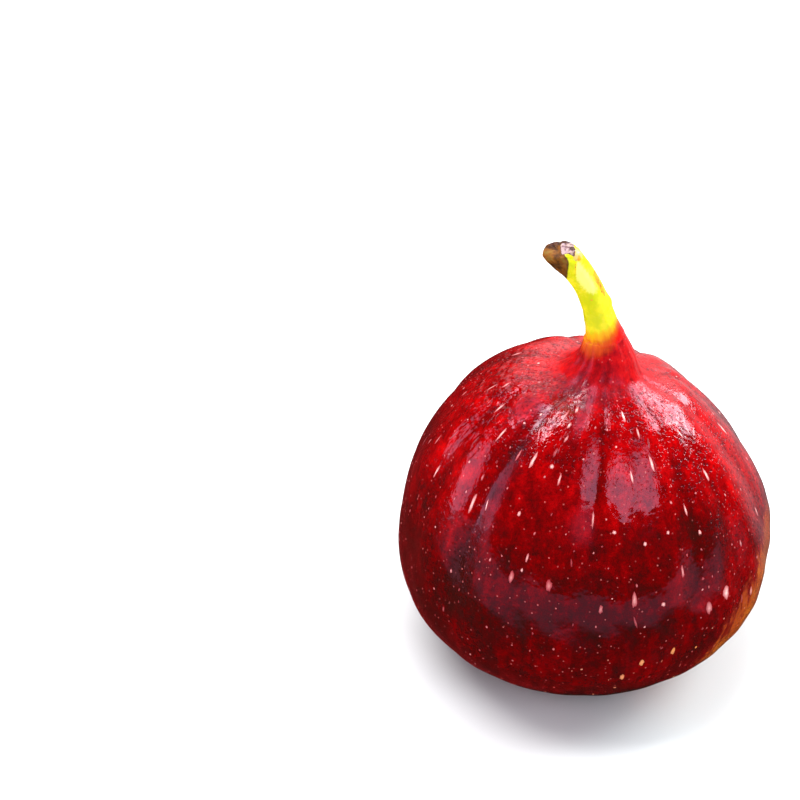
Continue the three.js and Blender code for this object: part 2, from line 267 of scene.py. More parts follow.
# ---------------------------------------- the flecks, in mm
FLECK_COUNT, FLECK_SIDES, FLECK_ROOM = 560, 12, 1.2
FLECK_SEED, FLECK_EDGE_SEED = 11, 12
FLECK_RIM, FLECK_RISE = 0.008, 0.05  # how far its rim and its middle stand out
CLEAR_FLECKS = [  # degrees round the fruit, height, half-length, half-width, paleness
    (-145, 20.7, 1.1, 0.14, 0.9), (-140, 13.6, 1.25, 0.22, 0.85), (-124, 20.1, 1.1, 0.20, 1.0),
    (-110, 19.2, 0.75, 0.14, 0.7), (-164, 12.7, 0.9, 0.15, 0.8), (-174, 14.7, 0.8, 0.12, 0.5),
    (-159, 21.8, 0.9, 0.14, 0.8), (-176, 22.1, 0.8, 0.12, 0.6), (-118, 8.4, 0.8, 0.28, 0.45),
    (-106, 8.8, 0.7, 0.36, 0.4), (-90, 6.4, 0.65, 0.24, 0.45),
    (-140, -0.7, 0.5, 0.15, 0.3), (-94, 16.0, 1.0, 0.13, 0.65),
    (-76, 24.5, 1.0, 0.15, 0.9), (-69, 23.6, 0.8, 0.13, 0.7), (-66, 21.1, 1.0, 0.20, 0.9),
    (-39, 18.3, 1.0, 0.20, 0.85), (-8, 19.6, 1.0, 0.18, 0.9), (-20, 9.6, 0.8, 0.2, 0.7),
    (-63, 9.6, 0.9, 0.20, 0.5), (-80, 7.6, 1.05, 0.34, 0.55), (-48, 4.3, 0.95, 0.6, 0.75),
    (-55, 3.4, 0.85, 0.38, 0.55), (-34, 0.6, 0.7, 0.3, 0.6), (-67, -1.5, 0.6, 0.28, 0.7),
    (-77, -1.8, 0.5, 0.32, 0.7), (-82, -4.1, 0.5, 0.28, 0.6), (-71, 6.4, 0.3, 0.28, 0.9),
    (-75, 13.6, 0.26, 0.22, 1.0), (-66, 14.5, 0.24, 0.2, 0.9), (-53, 13.3, 0.3, 0.2, 0.95),
    (-115, 20.1, 0.3, 0.24, 0.9), (-121, 15.1, 0.36, 0.22, 0.85), (-86, 15.0, 0.25, 0.22, 0.85),
]

# ---------------------------------------- the eye's scales, in mm
EYE_WHORLS = [  # count, ring radius, height above the ground, half-length, half-width, half-thickness
    (9, 1.75, 0.95, 1.10, 0.72, 0.24), (7, 1.15, 1.05, 0.95, 0.62, 0.22), (5, 0.62, 1.18, 0.70, 0.5, 0.2),
]
SCALE_ROWS, SCALE_AROUND, EYE_SEED = 10, 20, 5
DISC_RADIUS, DISC_HEIGHT, DISC_SIDES = 2.55, 1.25, 48

# ---------------------------------------- the view and the lamps
CAMERA_PLACE = (-24.278, -179.731, 170.459)  # in mm, from where the fruit's axis meets the ground
CAMERA_ANGLE = 36.5  # degrees above the horizon
LENS, SENSOR = 79.52, 36
LAMP_TARGET, LAMP_DISTANCE = Vector((0, 0, 0.02)), 2.0


# ---------------------------------------- mesh helpers
def add_piece(name, vertices, faces, material, attributes, replaced=()):
    """Makes a smooth mesh piece that rides on the fig. The vertices are in metres."""
    mesh = bpy.data.meshes.new(name)
    mesh.from_pydata([tuple(v) for v in vertices], [], faces)
    mesh.polygons.foreach_set("use_smooth", [True] * len(mesh.polygons))
    for key, values in attributes.items():
        values = np.asarray(values, np.float32)
        if values.ndim == 1:
            mesh.attributes.new(key, "FLOAT", "POINT").data.foreach_set("value", values)
        else:
            mesh.attributes.new(key, "FLOAT_VECTOR", "POINT").data.foreach_set("vector", values.ravel())
    mesh.materials.append(material)
    mesh.update()
    piece = bpy.data.objects.new(name, mesh)
    bpy.context.scene.collection.objects.link(piece)
    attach(piece, "root")
    if replaced:
        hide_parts(*replaced)


def band_faces(rows, around):
    """Faces between rows of points that each go once round."""
    faces = []
    for row in range(rows - 1):
        a, b = row * around, (row + 1) * around
        faces.extend((a + i, a + (i + 1) % around, b + (i + 1) % around, b + i) for i in range(around))
    return faces


def grid_faces(rows, around):
    """The same, closed by a single point before the first row and one after the last."""
    first, last, top = rows * around, rows * around + 1, (rows - 1) * around
    faces = band_faces(rows, around)
    for i in range(around):
        j = (i + 1) % around
        faces.extend([(first, j, i), (top + i, top + j, last)])
    return faces


# ---------------------------------------- material helpers
class Nodes:
    """Adds nodes to a material or to the world, and joins them."""

    def __init__(self, owner):
        owner.use_nodes = True
        self.nodes = owner.node_tree.nodes
        self.links = owner.node_tree.links

    def put(self, socket, value):
        if isinstance(value, bpy.types.NodeSocket):
            self.links.new(value, socket)
        else:
            socket.default_value = value

    def attribute(self, name, vector=False):
        node = self.nodes.new("ShaderNodeAttribute")
        node.attribute_name = name
        return node.outputs["Vector" if vector else "Fac"]

    def place(self, scale=1 / MM):
        """Position on the object in mm, or in other units through scale."""
        coordinates = self.nodes.new("ShaderNodeTexCoord")
        node = self.nodes.new("ShaderNodeVectorMath")
        node.operation = "MULTIPLY"
        self.put(node.inputs[0], coordinates.outputs["Object"])
        node.inputs[1].default_value = (scale, scale, scale)
        return node.outputs[0]

    def noise(self, vector, scale, detail=3.0, roughness=0.55):
        node = self.nodes.new("ShaderNodeTexNoise")
        self.put(node.inputs["Vector"], vector)
        for key, value in (("Scale", scale), ("Detail", detail), ("Roughness", roughness)):
            node.inputs[key].default_value = value
        return node.outputs["Fac"]

    def voronoi(self, vector, scale, output="Distance"):
        node = self.nodes.new("ShaderNodeTexVoronoi")
        self.put(node.inputs["Vector"], vector)
        node.inputs["Scale"].default_value = scale
        return node.outputs[output]

    def wobbled(self, vector, scale, amount):
        """The vector moved by amount times a noise of that scale."""
        wobble = self.nodes.new("ShaderNodeTexNoise")
        self.put(wobble.inputs["Vector"], vector)
        wobble.inputs["Scale"].default_value = scale
        node = self.nodes.new("ShaderNodeVectorMath")
        node.operation = "MULTIPLY_ADD"
        self.put(node.inputs[0], wobble.outputs["Color"])
        node.inputs[1].default_value = (amount, amount, amount)
        self.put(node.inputs[2], vector)
        return node.outputs[0]

    def math(self, operation, a, b):
        node = self.nodes.new("ShaderNodeMath")
        node.operation = operation
        self.put(node.inputs[0], a)
        self.put(node.inputs[1], b)
        return node.outputs[0]

    def plus(self, value, other, weight):
        """The value with weight times the other one added."""
        return self.math("ADD", value, self.math("MULTIPLY", other, weight))

    def varied(self, value, noise, amount):
        """The value with amount times a noise added, less the noise's mean of about 0.5."""
        return self.plus(value, self.math("SUBTRACT", noise, 0.5), amount)

    def remap(self, value, low, high, to_low=0.0, to_high=1.0):
        """Smoothly from to_low to to_high as value goes from low to high."""
        node = self.nodes.new("ShaderNodeMapRange")
        node.interpolation_type = "SMOOTHSTEP"
        self.put(node.inputs["Value"], value)
        for key, number in (("From Min", low), ("From Max", high), ("To Min", to_low), ("To Max", to_high)):
            node.inputs[key].default_value = number
        return node.outputs["Result"]

    def mix(self, factor, a, b, blend="MIX"):
        node = self.nodes.new("ShaderNodeMix")
        node.data_type = "RGBA"
        node.blend_type = blend
        self.put(node.inputs["Factor"], factor)
        for socket, value in ((node.inputs[6], a), (node.inputs[7], b)):
            self.put(socket, value if isinstance(value, bpy.types.NodeSocket) else (*value, 1))
        return node.outputs[2]

    def ramp(self, factor, stops):
        node = self.nodes.new("ShaderNodeValToRGB")
        self.put(node.inputs["Fac"], factor)
        elements = node.color_ramp.elements
        while len(elements) < len(stops):
            elements.new(0.5)
        for element, (place, colour) in zip(elements, stops):
            element.position = place
            element.color = (*colour, 1)
        return node.outputs["Color"]

    def bump(self, height, distance, strength=1.0, normal=None):
        node = self.nodes.new("ShaderNodeBump")
        node.inputs["Distance"].default_value = distance
        self.put(node.inputs["Strength"], strength)
        self.put(node.inputs["Height"], height)
        if normal is not None:
            self.put(node.inputs["Normal"], normal)
        return node.outputs["Normal"]


class Shader(Nodes):
    """The nodes of one new material."""

    def __init__(self, name):
        self.material = bpy.data.materials.new(name)
        super().__init__(self.material)
        self.surface = self.nodes["Principled BSDF"]

    def set(self, **values):
        """Sets or links the surface's sockets. A space in a socket's name is written as an underscore."""
        for key, value in values.items():
            self.put(self.surface.inputs[key.replace("_", " ")], value)


# ---------------------------------------- materials
def stalk_end(s, place, colour):
    """The stalk's colours over its yellow: painted shade that makes its back darker and greener, a painted
    highlight that makes its front paler, tan and scuffed spots, and its dead brown end with torn flesh and
    burnt edges. It reads the attributes back, pale, tan, scuff, dry, torn and burnt."""
    # Painted shade: the stalk's back is darker and greener.
    colour = s.mix(s.remap(s.attribute("back"), 0.0, 1.0, 0.0, 0.75), colour, (0.34, 0.40, 0.02))
    fine = s.noise(place, 3.0, detail=3, roughness=0.6)
    uneven = s.math("MULTIPLY", s.math("SUBTRACT", fine, 0.5), 0.9)
    pale, tan, scuff = (s.math("ADD", s.attribute(key), uneven) for key in ("pale", "tan", "scuff"))
    # Painted highlight: a pale cream patch on the stalk's front.
    colour = s.mix(s.remap(pale, 0.3, 0.9, 0.0, 0.8), colour, (0.92, 0.87, 0.24))
    colour = s.mix(s.remap(tan, 0.3, 0.7), colour, (0.66, 0.44, 0.16))
    scuffed = s.mix(s.remap(fine, 0.5, 0.7), (0.80, 0.36, 0.02), (0.24, 0.12, 0.01))
    colour = s.mix(s.remap(scuff, 0.35, 0.75), colour, scuffed)

    browns = s.ramp(s.noise(place, 0.8, detail=4, roughness=0.6), [
        (0.34, (0.022, 0.008, 0.002)), (0.45, (0.085, 0.034, 0.002)), (0.55, (0.20, 0.070, 0.003)),
        (0.68, (0.19, 0.115, 0.014)),
    ])
    dry = s.plus(s.attribute("dry"), uneven, 0.5)
    colour = s.mix(s.remap(dry, 0.25, 0.45), colour, (0.10, 0.055, 0.006))
    colour = s.mix(s.remap(dry, 0.5, 0.75), colour, browns)

    flesh = s.mix(s.remap(s.noise(place, 2.0), 0.42, 0.62), (0.44, 0.31, 0.31), (0.15, 0.08, 0.08))
    torn = s.plus(s.attribute("torn"), uneven, 0.8)
    colour = s.mix(s.remap(torn, 0.3, 0.45), colour, (0.075, 0.035, 0.016))
    colour = s.mix(s.remap(torn, 0.5, 0.65), colour, flesh)
    burnt = s.plus(s.attribute("burnt"), uneven, 0.6)
    return s.mix(s.remap(burnt, 0.3, 0.6), colour, (0.045, 0.018, 0.008))


def skin_colour(s, place, streaks, fine_streaks, pits):
    """From the stalk's yellow, through orange, into the fruit's reds, with an amber patch that is partly a
    painted rim light, pale stipple, and a darker red in the folds and grooves that is partly the skin's
    darker ribs and partly painted shade. It reads the attributes ripe, wine, crease and amber."""
    blotches = s.noise(place, 0.16, detail=4)
    mottle = s.noise(place, 0.9, detail=3, roughness=0.6)
    grain = s.noise(place, 3.4, detail=2, roughness=0.6)

    depth = s.attribute("wine")
    layers = [(streaks, 0.50), (blotches, 0.70), (fine_streaks, 0.10), (mottle, 0.55), (grain, 0.38)]
    for layer, weight in layers:
        depth = s.varied(depth, layer, weight)
    depth = s.plus(depth, pits, 0.24)
    # Painted shade: the red is darker in the fold lines and grooves, over the skin's own darker ribs.
    depth = s.plus(depth, s.attribute("crease"), 0.20)
    reds = s.ramp(depth, [
        (0.0, (0.66, 0.006, 0.003)), (0.22, (0.46, 0.001, 0.0015)), (0.42, (0.26, 0.0005, 0.001)),
        (0.62, (0.135, 0.0005, 0.0008)), (0.82, (0.06, 0.0015, 0.0013)), (1.0, (0.033, 0.0035, 0.0025)),
    ])

    # The amber is partly painted light: along the fruit's right edge it also stands in for an orange rim
    # light.
    amber = s.varied(s.varied(s.attribute("amber"), streaks, 1.5), mottle, 0.7)
    amber = s.math("MULTIPLY", s.remap(amber, 0.1, 0.9), s.remap(s.attribute("amber"), 0.0, 0.45))
    ambers = s.mix(s.remap(blotches, 0.42, 0.6), (0.50, 0.120, 0.012), (0.36, 0.055, 0.008))
    ambers = s.mix(s.remap(grain, 0.50, 0.66, 0.0, 0.7), ambers, (0.20, 0.035, 0.008))
    ambers = s.mix(s.remap(amber, 0.3, 1.0), (0.20, 0.012, 0.004), ambers)
    reds = s.mix(s.remap(amber, 0.0, 0.5), reds, ambers)

    dots = s.remap(s.voronoi(place, 1.45), 0.12, 0.20, 1.0, 0.0)
    dots = s.math("MULTIPLY", dots, s.remap(s.voronoi(place, 1.45, output="Color"), 0.45, 0.95, 0.0, 0.65))
    reds = s.mix(dots, reds, (0.66, 0.15, 0.14))

    ripe = s.varied(s.attribute("ripe"), streaks, 0.30)
    green = s.mix(s.remap(s.noise(place, 0.55), 0.4, 0.65), (0.60, 0.62, 0.006), (0.82, 0.73, 0.020))
    orange = s.mix(s.remap(ripe, 0.30, 0.62), (0.85, 0.42, 0.002), (0.66, 0.09, 0.002))
    return s.mix(s.remap(ripe, 0.12, 0.34), green, s.mix(s.remap(ripe, 0.52, 0.86), orange, reds))


def set_skin_gloss(s, place, flow, wobbly, pits):
    """A wet coat over the skin, broken by the pits. It reads the attributes dry, matte and dull, which take
    the wetness away, and wrinkled and gleam, where patches of it are wettest."""
    dry, matte, dull = s.attribute("dry"), s.attribute("matte"), s.attribute("dull")
    roughness = s.remap(s.noise(place, 0.32, detail=4), 0.35, 0.7, 0.06, 0.15)
    for worn, weight in ((dry, 0.4), (pits, 0.18), (matte, 0.25), (dull, 0.5)):
        roughness = s.plus(roughness, worn, weight)
    wet = s.math("MULTIPLY", s.remap(dry, 0.2, 0.7, 0.25, 0.05), s.remap(pits, 0.0, 1.0, 1.0, 0.1))
    wet = s.math("MULTIPLY", wet, s.remap(matte, 0.0, 1.0, 1.0, 0.1))
    broken = s.remap(s.noise(flow, 1.3, detail=3), 0.40, 0.50)
    speckled = s.remap(s.noise(wobbly, 1.7, detail=3), 0.45, 0.60)
    wettest = s.math("MAXIMUM", s.math("MULTIPLY", broken, s.attribute("wrinkled")),
                     s.math("MULTIPLY", speckled, s.attribute("gleam")))
    wet = s.math("MAXIMUM", wet, s.remap(wettest, 0.1, 0.5, 0.0, 0.9))
    wet = s.math("MULTIPLY", wet, s.remap(dull, 0.0, 0.6, 1.0, 0.0))
    s.set(Roughness=s.math("MINIMUM", roughness, 1.0), IOR=1.32, Specular_Tint=(0.95, 0.40, 0.75, 1))
    s.set(Coat_Weight=wet, Coat_Roughness=0.05, Coat_IOR=1.5)


def skin_material(name, has_end=False):
    """Wet fig skin, which runs on up the stalk, where has_end adds the stalk's own colours and its painted
    shade and highlight. Besides what its parts read, its relief reads the attributes rough (how pebbly the
    skin is), crumpled and flow. An attribute that a piece doesn't have reads as 0."""
    s = Shader(name)
    place, flow = s.place(), s.attribute("flow", vector=True)
    streaks = s.noise(flow, 0.75, detail=4, roughness=0.52)
    fine_streaks = s.noise(flow, 2.4, detail=3)

    # The skin is pitted where it has shrunk a little, and tight and smooth between.
    patchy = s.remap(s.noise(place, 0.2, detail=2), 0.35, 0.62, 0.55, 1.0)
    patchy = s.math("MULTIPLY", s.attribute("rough"), patchy)
    wobbly = s.wobbled(place, 1.6, 0.5)
    pits = s.math("MULTIPLY", s.remap(s.voronoi(wobbly, 2.1), 0.27, 0.46, 1.0, 0.0),
                  s.remap(s.voronoi(wobbly, 2.1, output="Color"), 0.2, 0.4))
    pits = s.math("MULTIPLY", pits, patchy)

    colour = skin_colour(s, place, streaks, fine_streaks, pits)
    s.set(Base_Color=stalk_end(s, place, colour) if has_end else colour)
    set_skin_gloss(s, place, flow, wobbly, pits)
    if has_end:
        s.set(Subsurface_Weight=s.remap(s.attribute("ripe"), 0.1, 0.5, 0.5, 0.0))
        s.set(Subsurface_Radius=(1.0, 0.9, 0.25), Subsurface_Scale=0.0025)

    relief = s.bump(s.noise(place, 0.5, detail=2), 0.00010, s.remap(s.attribute("dry"), 0.2, 0.7, 0.8, 0.3))
    relief = s.bump(s.noise(place, 0.8, detail=1), 0.0004, s.attribute("crumpled"), relief)
    relief = s.bump(s.noise(flow, 1.7, detail=1), 0.0002, s.attribute("crumpled"), relief)
    relief = s.bump(s.noise(flow, 1.6, detail=2), 0.00013, s.attribute("wrinkled"), relief)
    relief = s.bump(streaks, 0.00006, patchy, relief)
    relief = s.bump(pits, -0.00003, 1.0, relief)
    relief = s.bump(fine_streaks, 0.00004, s.remap(s.attribute("rough"), 0.1, 0.5, 0.05, 0.7), relief)
    s.set(Normal=relief, Coat_Normal=relief)
    return s.material


def fleck_material():
    """Pale corky flecks. tone is how pale each one is, 0 at its edge, and warmth how orange."""
    s = Shader("skin_flecks")
    tone, warmth = s.attribute("tone"), s.attribute("warmth")
    colour = s.ramp(tone, [
        (0.0, (0.16, 0.002, 0.006)), (0.22, (0.36, 0.03, 0.04)), (0.55, (0.66, 0.25, 0.24)),
        (1.0, (0.92, 0.68, 0.60)),
    ])
    colour = s.mix(s.math("MULTIPLY", warmth, s.remap(tone, 0.0, 0.5)), colour, (0.82, 0.30, 0.03))
    worn = s.remap(s.noise(s.place(), 5.0), 0.4, 0.7, 0.0, 0.35)
    s.set(Base_Color=s.mix(worn, colour, (0.35, 0.05, 0.06)))
    s.set(Roughness=0.3, Coat_Weight=0.3, Coat_Roughness=0.08)
    return s.material


def scale_material():
    """Dry reddish scales of the eye, darker and paler in patches."""
    s = Shader("eye_scale")
    place = s.place()
    colour = s.ramp(s.noise(place, 1.3, detail=4), [
        (0.3, (0.11, 0.012, 0.012)), (0.5, (0.27, 0.05, 0.03)), (0.72, (0.45, 0.18, 0.08)),
    ])
    s.set(Base_Color=colour, Roughness=0.55)
    s.set(Normal=s.bump(s.noise(place, 4.0, detail=4), 0.0001))
    return s.material


def floor_material():
    s = Shader("pale_floor")
    s.set(Base_Color=s.mix(s.noise(s.place(1.0), 30.0), (0.68, 0.68, 0.68), (0.72, 0.72, 0.72)))
    s.set(Roughness=0.6, Specular_IOR_Level=0.2)
    return s.material


# ---------------------------------------- the fruit
def flow_of(theta, radius, height):
    """Coordinates in which grain that runs down the fruit is as wide as it is long."""
    spread = BODY_RADIUS * (np.maximum(radius, 0.05) / BODY_RADIUS) ** 0.6
    return np.stack([spread * np.cos(theta), spread * np.sin(theta), 0.22 * height], -1)


def ripeness(theta, height):
    """From about 0 on the stalk to 1 on the fruit. The red climbs highest on the right."""
    left, right = facing(theta, -165, 45), facing(theta, -15, 50)
    return (1.0 - 0.46 * smooth(27.3, 31.8, height) - 0.62 * smooth(30.3, 35.0, height)
            + 0.42 * right * smooth(36, 30, height) - 0.06 * left * smooth(22, 27, height))


def wine_depth(theta, radius, height, shrivelled):
    """How dark the red is, from 0 to about 1, before the material's own streaks and blotches. It includes
    painted shade in front at the foot of the neck.
    """
    # Painted shade: the red is darker in front at the foot of the neck.
    neck_foot_shade = facing(theta, -88, 45) * bell(radius, 7, 5) * smooth(18, 23, height)
    return (WINE_START + sum(strength * smooth(low, high, height) for low, high, strength in WINE_HEIGHTS)
            + sum(strength * facing(theta, angle, width) * smooth(low, high, height)
                  for angle, width, low, high, strength in WINE_SIDES)
            + patches(theta, height, WINE_PATCHES) + 0.2 * shrivelled + 0.14 * neck_foot_shade)


def amber_depth(theta, radius, height):
    """How amber the skin is, from 0 to 1: the patch on the right, which along the fruit's right edge is
    partly a painted orange rim light, and a faint one under the front.
    """
    left_edge = AMBER["left"] + AMBER["slope"] * height
    patch = (smooth(*AMBER_FADE["left"], degrees_apart(theta, left_edge))
             * smooth(*AMBER_FADE["right"], degrees_apart(theta, AMBER["right"]))
             * smooth(*AMBER_FADE["top"], height - AMBER["top"]) * smooth(*AMBER_FADE["eye"], radius))
    return np.maximum(patch, 0.26 * facing(theta, -65, 55) * smooth(-5, -11, height))


def skin_attributes(theta, radius, height):
    """The attributes that the skin's material reads, for points of the fruit."""
    shrivelled = patches(theta, height, SHRIVELLED)
    back_left = smooth(50, 22, np.abs(degrees_apart(theta, 178)))
    left_of_neck = facing(theta, -109, 4.5) * bell(radius, 10, 1.8) * smooth(10, 15, height)
    groove = np.clip(groove_at(theta, height), 0, 1) * smooth(-6, 16, height)
    matte_edge = 8.0 + 1.8 * facing(theta, -103, 14)
    right_side = facing(theta, -5, 50) * smooth(0, 12, height)
    rough = 0.3 + 0.45 * smooth(16, 22, height) + 0.55 * right_side - patches(theta, height, TIGHT)
    rough = rough * smooth(4, 7, radius) + 0.8 * shrivelled + patches(theta, height, PEBBLY)
    return {
        "wine": wine_depth(theta, radius, height, shrivelled),
        "ripe": ripeness(theta, height),
        "amber": amber_depth(theta, radius, height),
        # crease also darkens the red: painted shade in the folds and grooves.
        "crease": crease_at(theta, radius, height) + 0.55 * groove,
        "crumpled": back_left * smooth(15, 20, height) * smooth(4, 7, radius) + 0.6 * shrivelled,
        "wrinkled": facing(theta, -123, 12) * bell(radius, 10, 4.5) * smooth(12, 18, height),
        "dull": patches(theta, height, DULL) + 0.8 * left_of_neck,
        "gleam": patches(theta, height, GLEAM),
        "matte": smooth(0, -2.5, radius - matte_edge) * smooth(0, 10, height),
        "rough": np.clip(rough, 0.1, 1),
        "flow": flow_of(theta, radius, height),
    }


def pocket_outline(rest_edge):
    """(radius, height) from the middle of the eye's pocket out to the edge of the resting face."""
    ground = -EQUATOR_HEIGHT
    return np.array([
        (0.4, ground + POCKET_HEIGHT), (POCKET_RADIUS - 0.4, ground + POCKET_HEIGHT),
        (POCKET_RADIUS, ground + 1.3), (POCKET_RADIUS + 0.3, ground + 0.6),
        (POCKET_RADIUS + 0.85, ground + 0.15), (LIP_RADIUS, ground), (rest_edge, ground),
    ])


def add_fruit(material):
    rest_edge = body_outline(2)[0, 0]
    line = np.concatenate([spaced(pocket_outline(rest_edge), ROW_STEP)[:-1], spaced(SKIN_LINE, ROW_STEP)])
    radius, height = line[:, 0:1], line[:, 1:2]
    theta = np.linspace(-math.pi, math.pi, AROUND, endpoint=False)[None, :] + 0 * radius
    radius, height = radius + 0 * theta, height + 0 * theta

    # The finer forms fade out at the resting face and stay out of the pocket.
    on_skin = smooth(-EQUATOR_HEIGHT + 0.05, -EQUATOR_HEIGHT + 1.5, height) * (radius > rest_edge - 0.01)
    on_neck = (radius <= rest_edge) & (height > 0)
    finer = relief(theta, radius, height) * np.where(on_neck, 1, on_skin)
    points = shape_fruit(theta, radius, height, finer)
    ends = [shape_fruit(0.0, 0.0, end) for end in (-EQUATOR_HEIGHT + POCKET_HEIGHT, NECK_HEIGHT)]
    attributes = {}
    for key, values in skin_attributes(theta, radius, height).items():
        flat = values.reshape(-1, 3) if key == "flow" else values.ravel()
        attributes[key] = np.concatenate([flat, flat[[0, -1]]])
    vertices = placed(np.concatenate([points.reshape(-1, 3), ends]))
    faces = grid_faces(len(line), AROUND)
    add_piece("fruit_skin", vertices, faces, material, attributes, ["fruit"])


# ---------------------------------------- the flecks
def fleck_at(theta, along, half, wide, tone, lean=0.0):
    radius, height = skin_line(along)
    warmth = 0.9 * float(facing(theta, -62, 34) * smooth(2, -2, height))
    return dict(here=shape_fruit(theta, radius, height), theta=theta, along=along, half=half, wide=wide,
                lean=lean, tone=tone, warmth=warmth)


def chosen_flecks():
    """Where the flecks are: first the clearest ones, then others at random, kept apart from each other."""
    rng = np.random.default_rng(FLECK_SEED)
    chosen = []
    for angle, height, half, wide, tone in CLEAR_FLECKS:
        along = float(np.interp(height, SKIN_LINE[:, 1], SKIN_ALONG))
        chosen.append(fleck_at(math.radians(angle), along, half, wide, tone))
    while len(chosen) < FLECK_COUNT:
        along = rng.uniform(3, SKIN_ALONG[-1] - 9)
        theta = rng.uniform(-math.pi, math.pi)
        radius, height = skin_line(along)
        if rng.uniform() > (radius / BODY_RADIUS) ** 0.8 + 0.1:
            continue
        here = shape_fruit(theta, radius, height)
        if any(np.linalg.norm(here - other["here"]) <= FLECK_ROOM for other in chosen):
            continue
        long_one = rng.uniform() < 0.04 + 0.30 * smooth(10, 22, height)
        half = rng.uniform(0.35, 0.95) if long_one else rng.uniform(0.10, 0.24)
        wide = rng.uniform(0.10, 0.17) if long_one else min(half, rng.uniform(0.08, 0.17))
        tone = np.clip(rng.normal(0.48 if long_one else 0.36, 0.24), 0.05, 1)
        chosen.append(fleck_at(theta, along, half, wide, tone, rng.normal(0, 0.12)))
    return chosen


def add_flecks(material):
    """Lenticels: pale lens-shaped flecks that run down the fruit, long on the shoulders and short below."""
    rng = np.random.default_rng(FLECK_EDGE_SEED)
    turn = np.linspace(0, 2 * math.pi, FLECK_SIDES, endpoint=False)
    lift = np.append(np.full(FLECK_SIDES, FLECK_RIM), FLECK_RISE)[:, None]
    vertices, faces, tone, warmth = [], [], [], []
    for fleck in chosen_flecks():
        uneven = 1 + rng.uniform(-0.22, 0.22, FLECK_SIDES)
        across, down = fleck["wide"] * np.cos(turn) * uneven, fleck["half"] * np.sin(turn) * uneven
        across = across + fleck["lean"] * down
        radius = max(float(skin_line(fleck["along"])[0]), 2.0)
        theta = np.append(fleck["theta"] + across / radius, fleck["theta"])
        along = np.append(fleck["along"] + down, fleck["along"])
        points = skin_point(theta, along)
        outward = np.cross(skin_point(theta + 0.01, along) - points, skin_point(theta, along + 0.1) - points)
        outward /= np.linalg.norm(outward, axis=1)[:, None]
        start = len(vertices)
        middle = start + FLECK_SIDES
        vertices.extend(points + outward * lift)
        faces.extend((start + i, start + (i + 1) % FLECK_SIDES, middle) for i in range(FLECK_SIDES))
        tone.extend([fleck["tone"] * 0.35] * FLECK_SIDES + [min(fleck["tone"] * 1.25, 1)])
        warmth.extend([fleck["warmth"]] * (FLECK_SIDES + 1))
    add_piece("skin_flecks", placed(np.array(vertices)), faces, material,
              {"tone": tone, "warmth": warmth})


# ---------------------------------------- the stalk
def stalk_frame(share):
    """Centre, outer direction, side direction, tangent and radius at shares of the stalk's length. Shares
    below 0 run down inside the neck."""
    stations = np.stack([STALK_X, STALK_Y, STALK_Z], 1)
    fine = np.linspace(0, 1, 400)
    line = np.stack([catmull_rom(stations[:, k], stations, fine) for k in range(3)], 1)
    inside = np.minimum(share, 0)
    share = np.clip(share, 0, 1)
    centre = np.stack([np.interp(share, fine, line[:, k]) for k in range(3)], -1)
    slope = np.gradient(line, fine, axis=0)
    slope /= np.linalg.norm(slope, axis=1)[:, None]
    tangent = np.stack([np.interp(share, fine, slope[:, k]) for k in range(3)], -1)
    tangent /= np.linalg.norm(tangent, axis=-1, keepdims=True)
    length = np.linalg.norm(np.diff(line, axis=0), axis=1).sum()
    centre = centre + tangent * (inside * length)[..., None]
    outer = np.cross([0, 1, 0], tangent)
    outer /= np.linalg.norm(outer, axis=-1, keepdims=True)
    side = np.cross(tangent, outer)
    spans = len(STALK_X) - 1
    place = np.clip(share * spans, 0, spans - 1e-9)
    i = place.astype(int)
    radii = np.array(STALK_RADIUS)
    radius = radii[i] + (radii[i + 1] - radii[i]) * smooth(0, 1, place - i)
    return centre, outer, side, tangent, radius


def catmull_rom(values, stations, shares):
    """One coordinate of the centripetal Catmull-Rom curve through the stations."""
    padded = np.concatenate([[2 * values[0] - values[1]], values, [2 * values[-1] - values[-2]]])
    places = np.concatenate([[2 * stations[0] - stations[1]], stations, [2 * stations[-1] - stations[-2]]])
    gaps = np.linalg.norm(np.diff(places, axis=0), axis=1) ** 0.5
    result = []
    for share in shares:
        at = min(share * (len(values) - 1), len(values) - 1 - 1e-9)
        i = int(at)
        t = at - i
        x0, x1, x2, x3 = padded[i:i + 4]
        d0, d1, d2 = gaps[i:i + 3]
        leave = ((x1 - x0) / d0 - (x2 - x0) / (d0 + d1) + (x2 - x1) / d1) * d1
        arrive = ((x2 - x1) / d1 - (x3 - x1) / (d1 + d2) + (x3 - x2) / d2) * d1
        result.append(x1 + leave * t + (3 * (x2 - x1) - 2 * leave - arrive) * t ** 2
                      + (2 * (x1 - x2) + leave + arrive) * t ** 3)
    return np.array(result)


def stalk_root(share):
    """What the dressed stalk's radius gains at its root, where it carries on the neck's slope."""
    return np.where(share < 0, -4.0 * share - 38 * share ** 2, 0) - 1.12 * share * smooth(0.16, 0, share)


def stalk_side():
    """Rows of points up the stalk's side, their shares of its length, angles and radii, and the direction
    in which it ends."""
    share = np.linspace(-STALK_SUNK, 1, STALK_ROWS)[:, None]
    theta = np.linspace(0, 2 * math.pi, STALK_AROUND, endpoint=False)[None, :] + 0 * share
    share = share + 0 * theta
    centre, outer, side, tangent, radius = stalk_frame(share)
    scar = SCAR["height"] * bell(share, SCAR["along"], SCAR["length"]) * facing(theta, 0, SCAR["width"])
    flutes = 0.03 * np.sin(5 * theta + 4 * share) * smooth(0, 0.1, share)
    ridges = 0.012 * np.sin(13 * theta + 3 * np.sin(7 * share)) * smooth(0.05, 0.3, share)
    crumpled = np.sin(9 * theta + 22 * share) * np.sin(31 * share + theta) * smooth(0.78, 0.95, share)
    shaped = (radius + stalk_root(share)) * (1 + flutes + ridges + 0.03 * crumpled) + scar
    slip = -END_SLANT * smooth(END_START, 1, share) * shaped * np.cos(theta)
    points = (centre + outer * (shaped * np.cos(theta))[..., None]
              + side * (shaped * np.sin(theta))[..., None] + tangent * slip[..., None])
    return points, share, theta, shaped, tangent[-1, 0]


